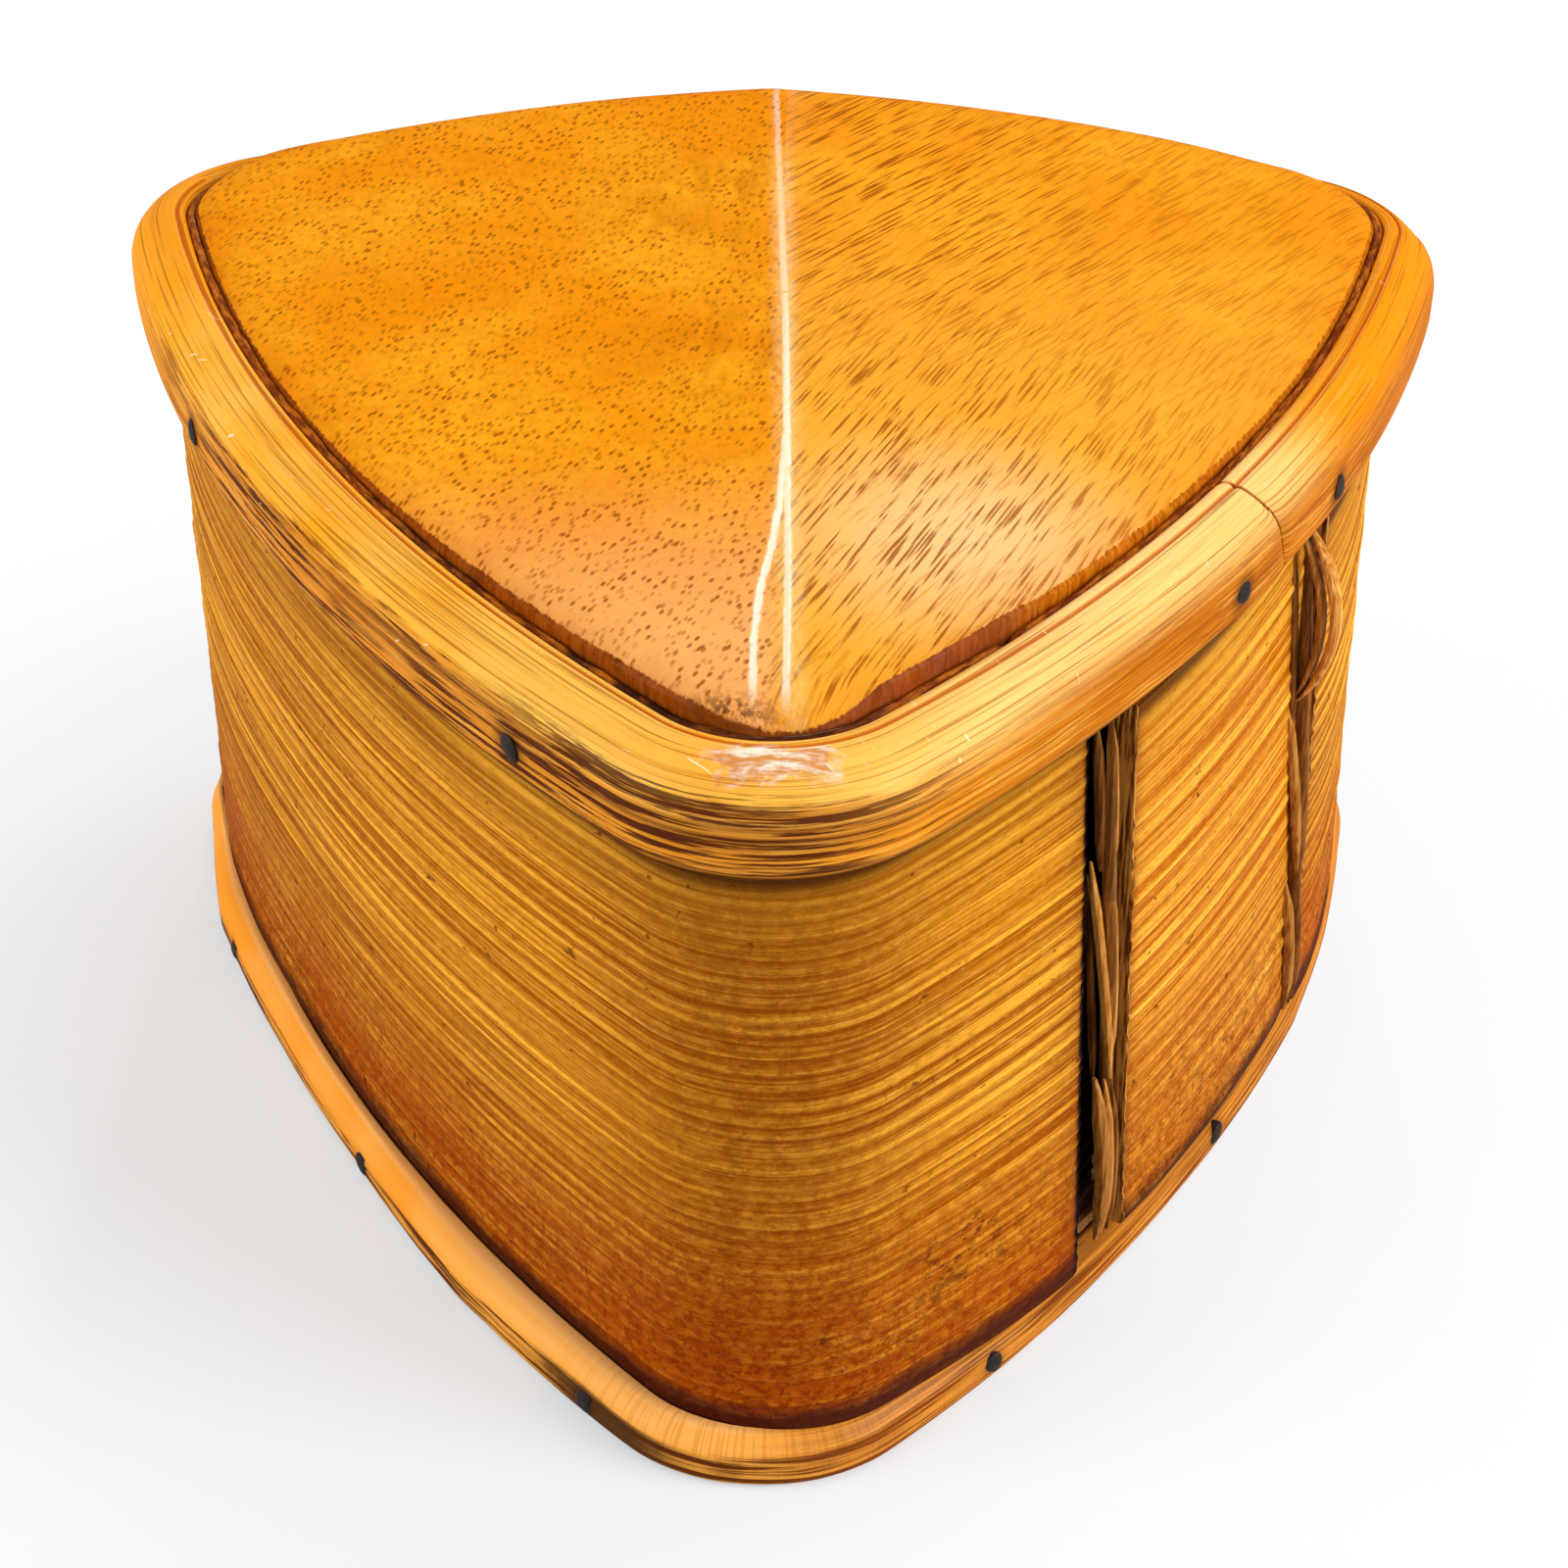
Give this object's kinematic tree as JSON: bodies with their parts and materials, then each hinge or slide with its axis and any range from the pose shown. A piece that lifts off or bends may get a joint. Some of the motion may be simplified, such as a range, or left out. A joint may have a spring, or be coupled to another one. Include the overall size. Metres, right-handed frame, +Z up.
{
  "type": "trinket box",
  "caption": "Small trinket box of rounded triangular plan: bent ribbed wooden wall sewn at its laps, nailed base moulding, and a lift-off carved lid with a cane rim.",
  "frame": {"origin": "middle of the box's footprint, on the table", "axes": "+Z up, +Y from the front corner to the middle of the back side, +X to the right seen from the front corner"},
  "size_m": [0.1122, 0.1066, 0.0684],
  "materials": {
    "ribbed_sheet": "satin lacquer over fine ribs",
    "lacing_strip": "satin lacquer",
    "plain_wood": "matt, bare",
    "moulding_cane": "satin lacquer, worn at the foot",
    "lid_wood": "gloss lacquer",
    "rim_cane": "satin lacquer, worn",
    "dark_strip": "gloss lacquer",
    "nail_iron": "dull"
  },
  "bodies": {
    "box": {"wall_sheet": "ribbed_sheet", "wall_panel": "ribbed_sheet", "front_lacing": "lacing_strip", "rear_lacing": "lacing_strip", "base_board": "plain_wood", "base_moulding": "moulding_cane", "base_nails": "nail_iron"},
    "lid": {"lid_panel": "lid_wood", "lid_rim": "rim_cane", "lid_rim_nails": "nail_iron", "edge_strip": "dark_strip", "lid_lip": "plain_wood"}
  },
  "joints": [
    {"name": "lid_lift", "type": "slide", "parent": "box", "child": "lid", "axis": [0, 0, 1], "range_m": [0, 0.06]}
  ]
}
